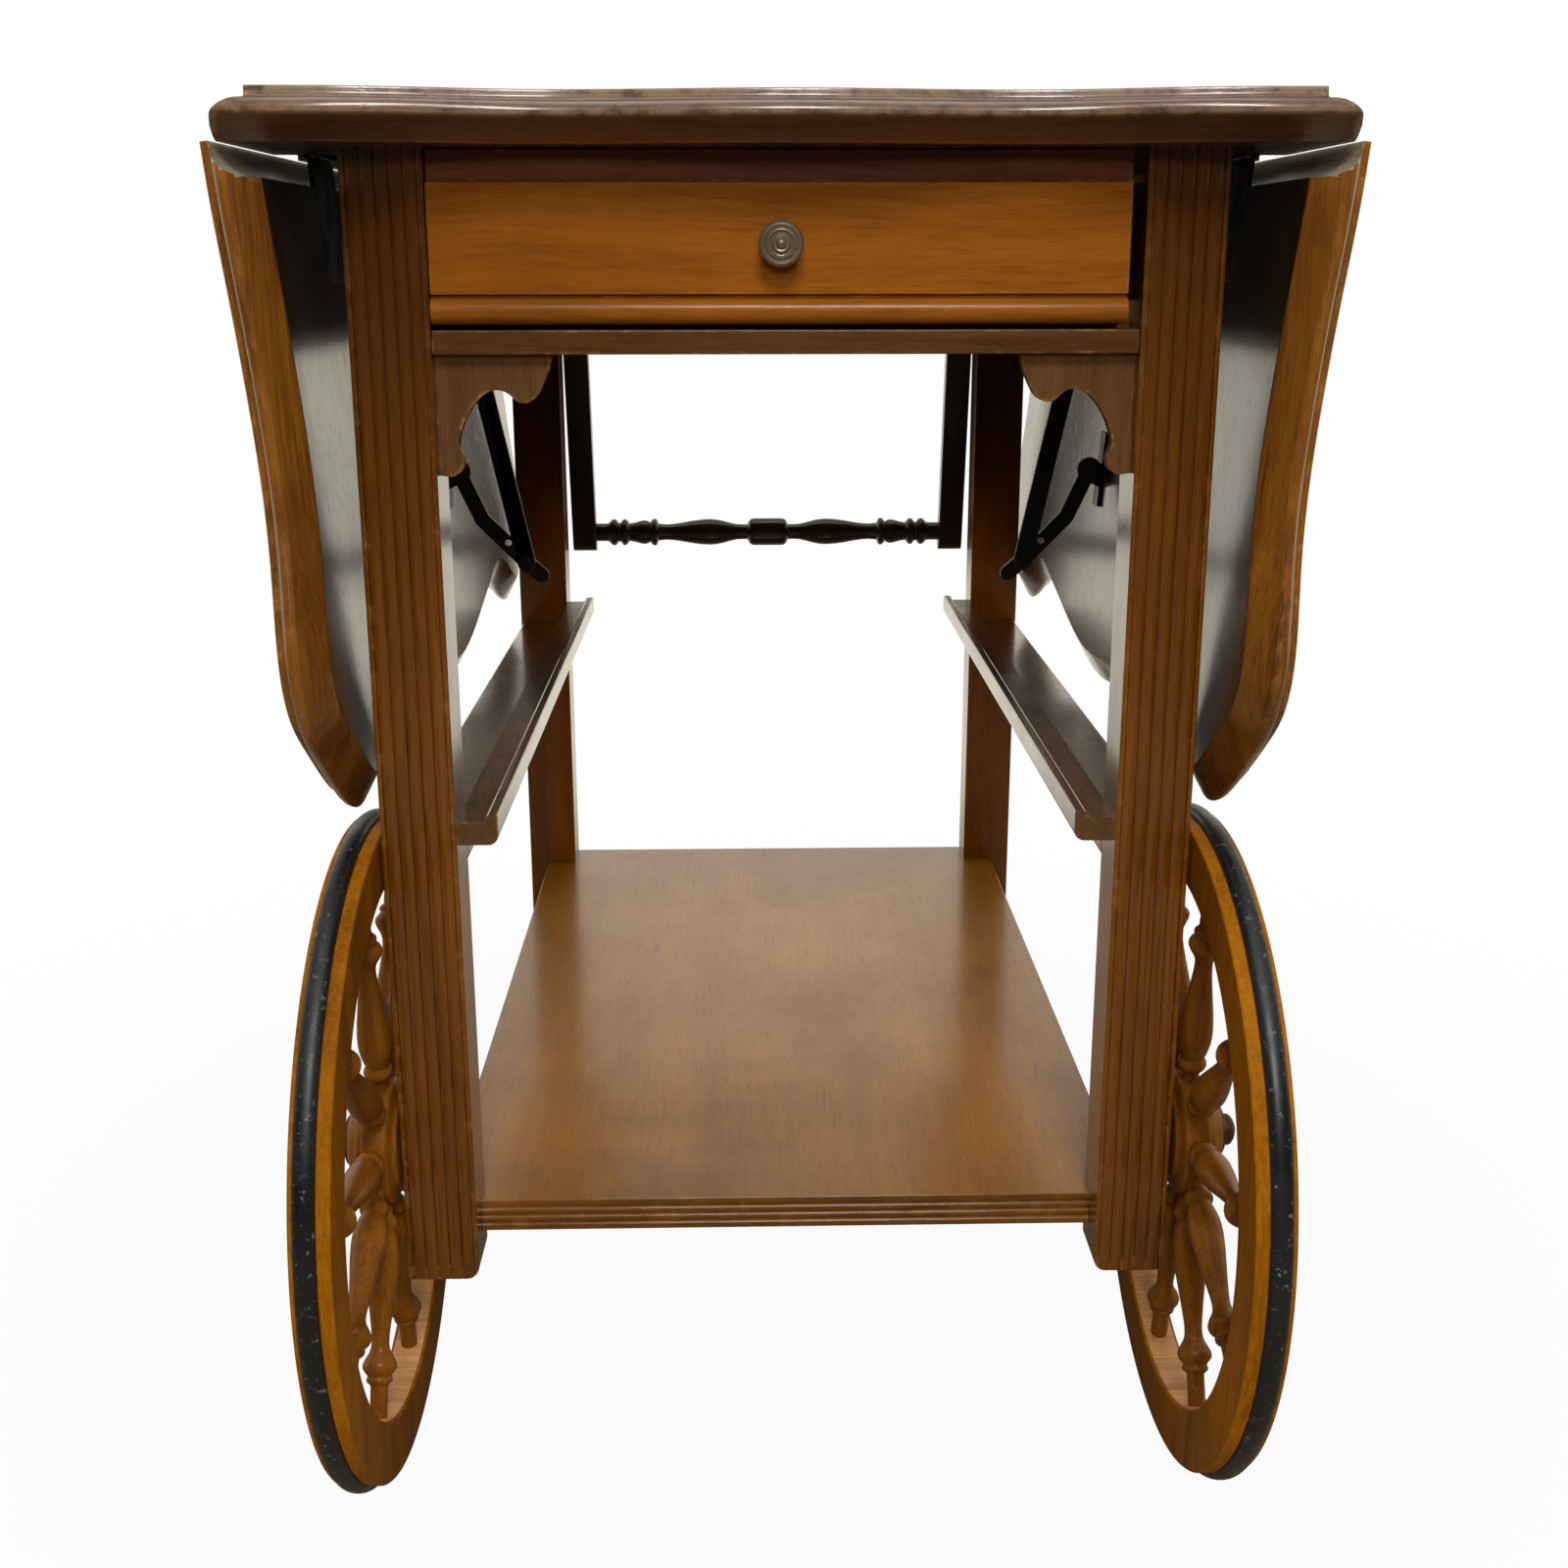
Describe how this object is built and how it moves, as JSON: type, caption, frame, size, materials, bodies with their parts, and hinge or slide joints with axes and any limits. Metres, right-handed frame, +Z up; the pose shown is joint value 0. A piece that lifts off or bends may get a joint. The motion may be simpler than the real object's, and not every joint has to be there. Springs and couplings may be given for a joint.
{
  "type": "drop leaf tea trolley",
  "caption": "Wooden drop leaf tea trolley with a drawer, a lower shelf, folding leaf stays, spoked wheels, rear casters and a hinged pull handle.",
  "frame": {"origin": "on the floor, under the middle of the whole trolley with both leaves hanging", "axes": "+Z up, the drawer faces -Y, the pull handle is at +Y, the leaves hang at -X and +X"},
  "size_m": [0.5084, 0.8645, 0.708],
  "materials": {
    "dark_wood": "satin",
    "leg_wood": "satin",
    "wheel_wood": "satin",
    "drawer_wood": "satin",
    "pale_wood": "matte",
    "tyre_rubber": "matte",
    "knob_metal": "antique",
    "black_iron": "satin",
    "steel": "satin",
    "caster_rubber": "matte"
  },
  "bodies": {
    "frame": {"table_top": "dark_wood", "front_left_leg": "leg_wood", "front_right_leg": "leg_wood", "rear_left_leg": "leg_wood", "rear_right_leg": "leg_wood", "left_side_apron": "dark_wood", "right_side_apron": "dark_wood", "rear_apron": "dark_wood", "front_rail": "dark_wood", "left_drawer_runner": "pale_wood", "right_drawer_runner": "pale_wood", "left_drawer_kicker": "pale_wood", "right_drawer_kicker": "pale_wood", "left_fret_bracket": "dark_wood", "right_fret_bracket": "dark_wood", "lower_shelf": "dark_wood", "left_side_rail": "dark_wood", "right_side_rail": "dark_wood", "left_tray_ledge": "dark_wood", "right_tray_ledge": "dark_wood", "left_axle": "steel", "right_axle": "steel", "hinge_frame_plates": "steel", "stay_frame_brackets": "black_iron", "caster_sockets": "steel", "handle_pivots": "steel", "handle_stop_blocks": "dark_wood"},
    "drawer": {"drawer_front": "drawer_wood", "drawer_left_side": "pale_wood", "drawer_right_side": "pale_wood", "drawer_back": "pale_wood", "drawer_bottom": "pale_wood", "drawer_knob": "knob_metal"},
    "handle": {"handle_left_arm": "dark_wood", "handle_right_arm": "dark_wood", "handle_spindle": "dark_wood"},
    "left_leaf": {"left_leaf_panel": "dark_wood", "left_hinge_leaf_plates": "steel", "left_stay_leaf_bracket": "black_iron"},
    "left_stay_arm": {"left_stay_arm": "black_iron"},
    "left_stay_link": {"left_stay_link": "black_iron"},
    "left_wheel": {"left_wheel_rim": "wheel_wood", "left_wheel_tyre": "tyre_rubber", "left_wheel_spokes": "wheel_wood", "left_wheel_hub": "wheel_wood", "left_wheel_bush": "steel"},
    "left_caster": {"left_caster_fork": "steel"},
    "left_caster_roller": {"left_caster_wheel": "caster_rubber"},
    "right_leaf": {"right_leaf_panel": "dark_wood", "right_hinge_leaf_plates": "steel", "right_stay_leaf_bracket": "black_iron"},
    "right_stay_arm": {"right_stay_arm": "black_iron"},
    "right_stay_link": {"right_stay_link": "black_iron"},
    "right_wheel": {"right_wheel_rim": "wheel_wood", "right_wheel_tyre": "tyre_rubber", "right_wheel_spokes": "wheel_wood", "right_wheel_hub": "wheel_wood", "right_wheel_bush": "steel"},
    "right_caster": {"right_caster_fork": "steel"},
    "right_caster_roller": {"right_caster_wheel": "caster_rubber"}
  },
  "joints": [
    {"name": "drawer_slide", "type": "slide", "parent": "frame", "child": "drawer", "axis": [0, -1, 0], "range_m": [0, 0.3]},
    {"name": "handle_swing", "type": "hinge", "parent": "frame", "child": "handle", "pos_m": [0, 0.36175, 0.64], "axis": [1, 0, 0], "range_deg": [0, 78]},
    {"name": "left_leaf_hinge", "type": "hinge", "parent": "frame", "child": "left_leaf", "pos_m": [-0.2333, 0.04825, 0.687], "axis": [0, 1, 0], "range_deg": [0, 94.5]},
    {"name": "left_stay_arm_pivot", "type": "hinge", "parent": "frame", "child": "left_stay_arm", "pos_m": [-0.197, 0.04825, 0.603], "axis": [0, 1, 0], "range_deg": [0, 112.87]},
    {"name": "left_stay_link_pivot", "type": "hinge", "parent": "left_leaf", "child": "left_stay_link", "pos_m": [-0.2065, 0.04825, 0.504], "axis": [0, 1, 0], "range_deg": [-115.98, 0]},
    {"name": "left_wheel_spin", "type": "hinge", "parent": "frame", "child": "left_wheel", "pos_m": [-0.217, -0.25325, 0.179], "axis": [1, 0, 0], "continuous": true},
    {"name": "left_caster_swivel", "type": "hinge", "parent": "frame", "child": "left_caster", "pos_m": [-0.186, 0.35275, 0.06], "axis": [0, 0, 1], "continuous": true},
    {"name": "left_caster_roll", "type": "hinge", "parent": "left_caster", "child": "left_caster_roller", "pos_m": [-0.186, 0.36975, 0.024], "axis": [1, 0, 0], "continuous": true},
    {"name": "right_leaf_hinge", "type": "hinge", "parent": "frame", "child": "right_leaf", "pos_m": [0.2333, 0.04825, 0.687], "axis": [0, -1, 0], "range_deg": [0, 94.5]},
    {"name": "right_stay_arm_pivot", "type": "hinge", "parent": "frame", "child": "right_stay_arm", "pos_m": [0.197, 0.04825, 0.603], "axis": [0, -1, 0], "range_deg": [0, 112.87]},
    {"name": "right_stay_link_pivot", "type": "hinge", "parent": "right_leaf", "child": "right_stay_link", "pos_m": [0.2065, 0.04825, 0.504], "axis": [0, -1, 0], "range_deg": [-115.98, 0]},
    {"name": "right_wheel_spin", "type": "hinge", "parent": "frame", "child": "right_wheel", "pos_m": [0.217, -0.25325, 0.179], "axis": [1, 0, 0], "continuous": true},
    {"name": "right_caster_swivel", "type": "hinge", "parent": "frame", "child": "right_caster", "pos_m": [0.186, 0.35275, 0.06], "axis": [0, 0, 1], "continuous": true},
    {"name": "right_caster_roll", "type": "hinge", "parent": "right_caster", "child": "right_caster_roller", "pos_m": [0.186, 0.36975, 0.024], "axis": [1, 0, 0], "continuous": true}
  ],
  "couplings": [
    {"joint": "left_stay_arm_pivot", "follows": "left_leaf_hinge", "ratio": 1.1942},
    {"joint": "left_stay_link_pivot", "follows": "left_leaf_hinge", "ratio": -1.2271},
    {"joint": "right_stay_arm_pivot", "follows": "right_leaf_hinge", "ratio": 1.1942},
    {"joint": "right_stay_link_pivot", "follows": "right_leaf_hinge", "ratio": -1.2271}
  ]
}
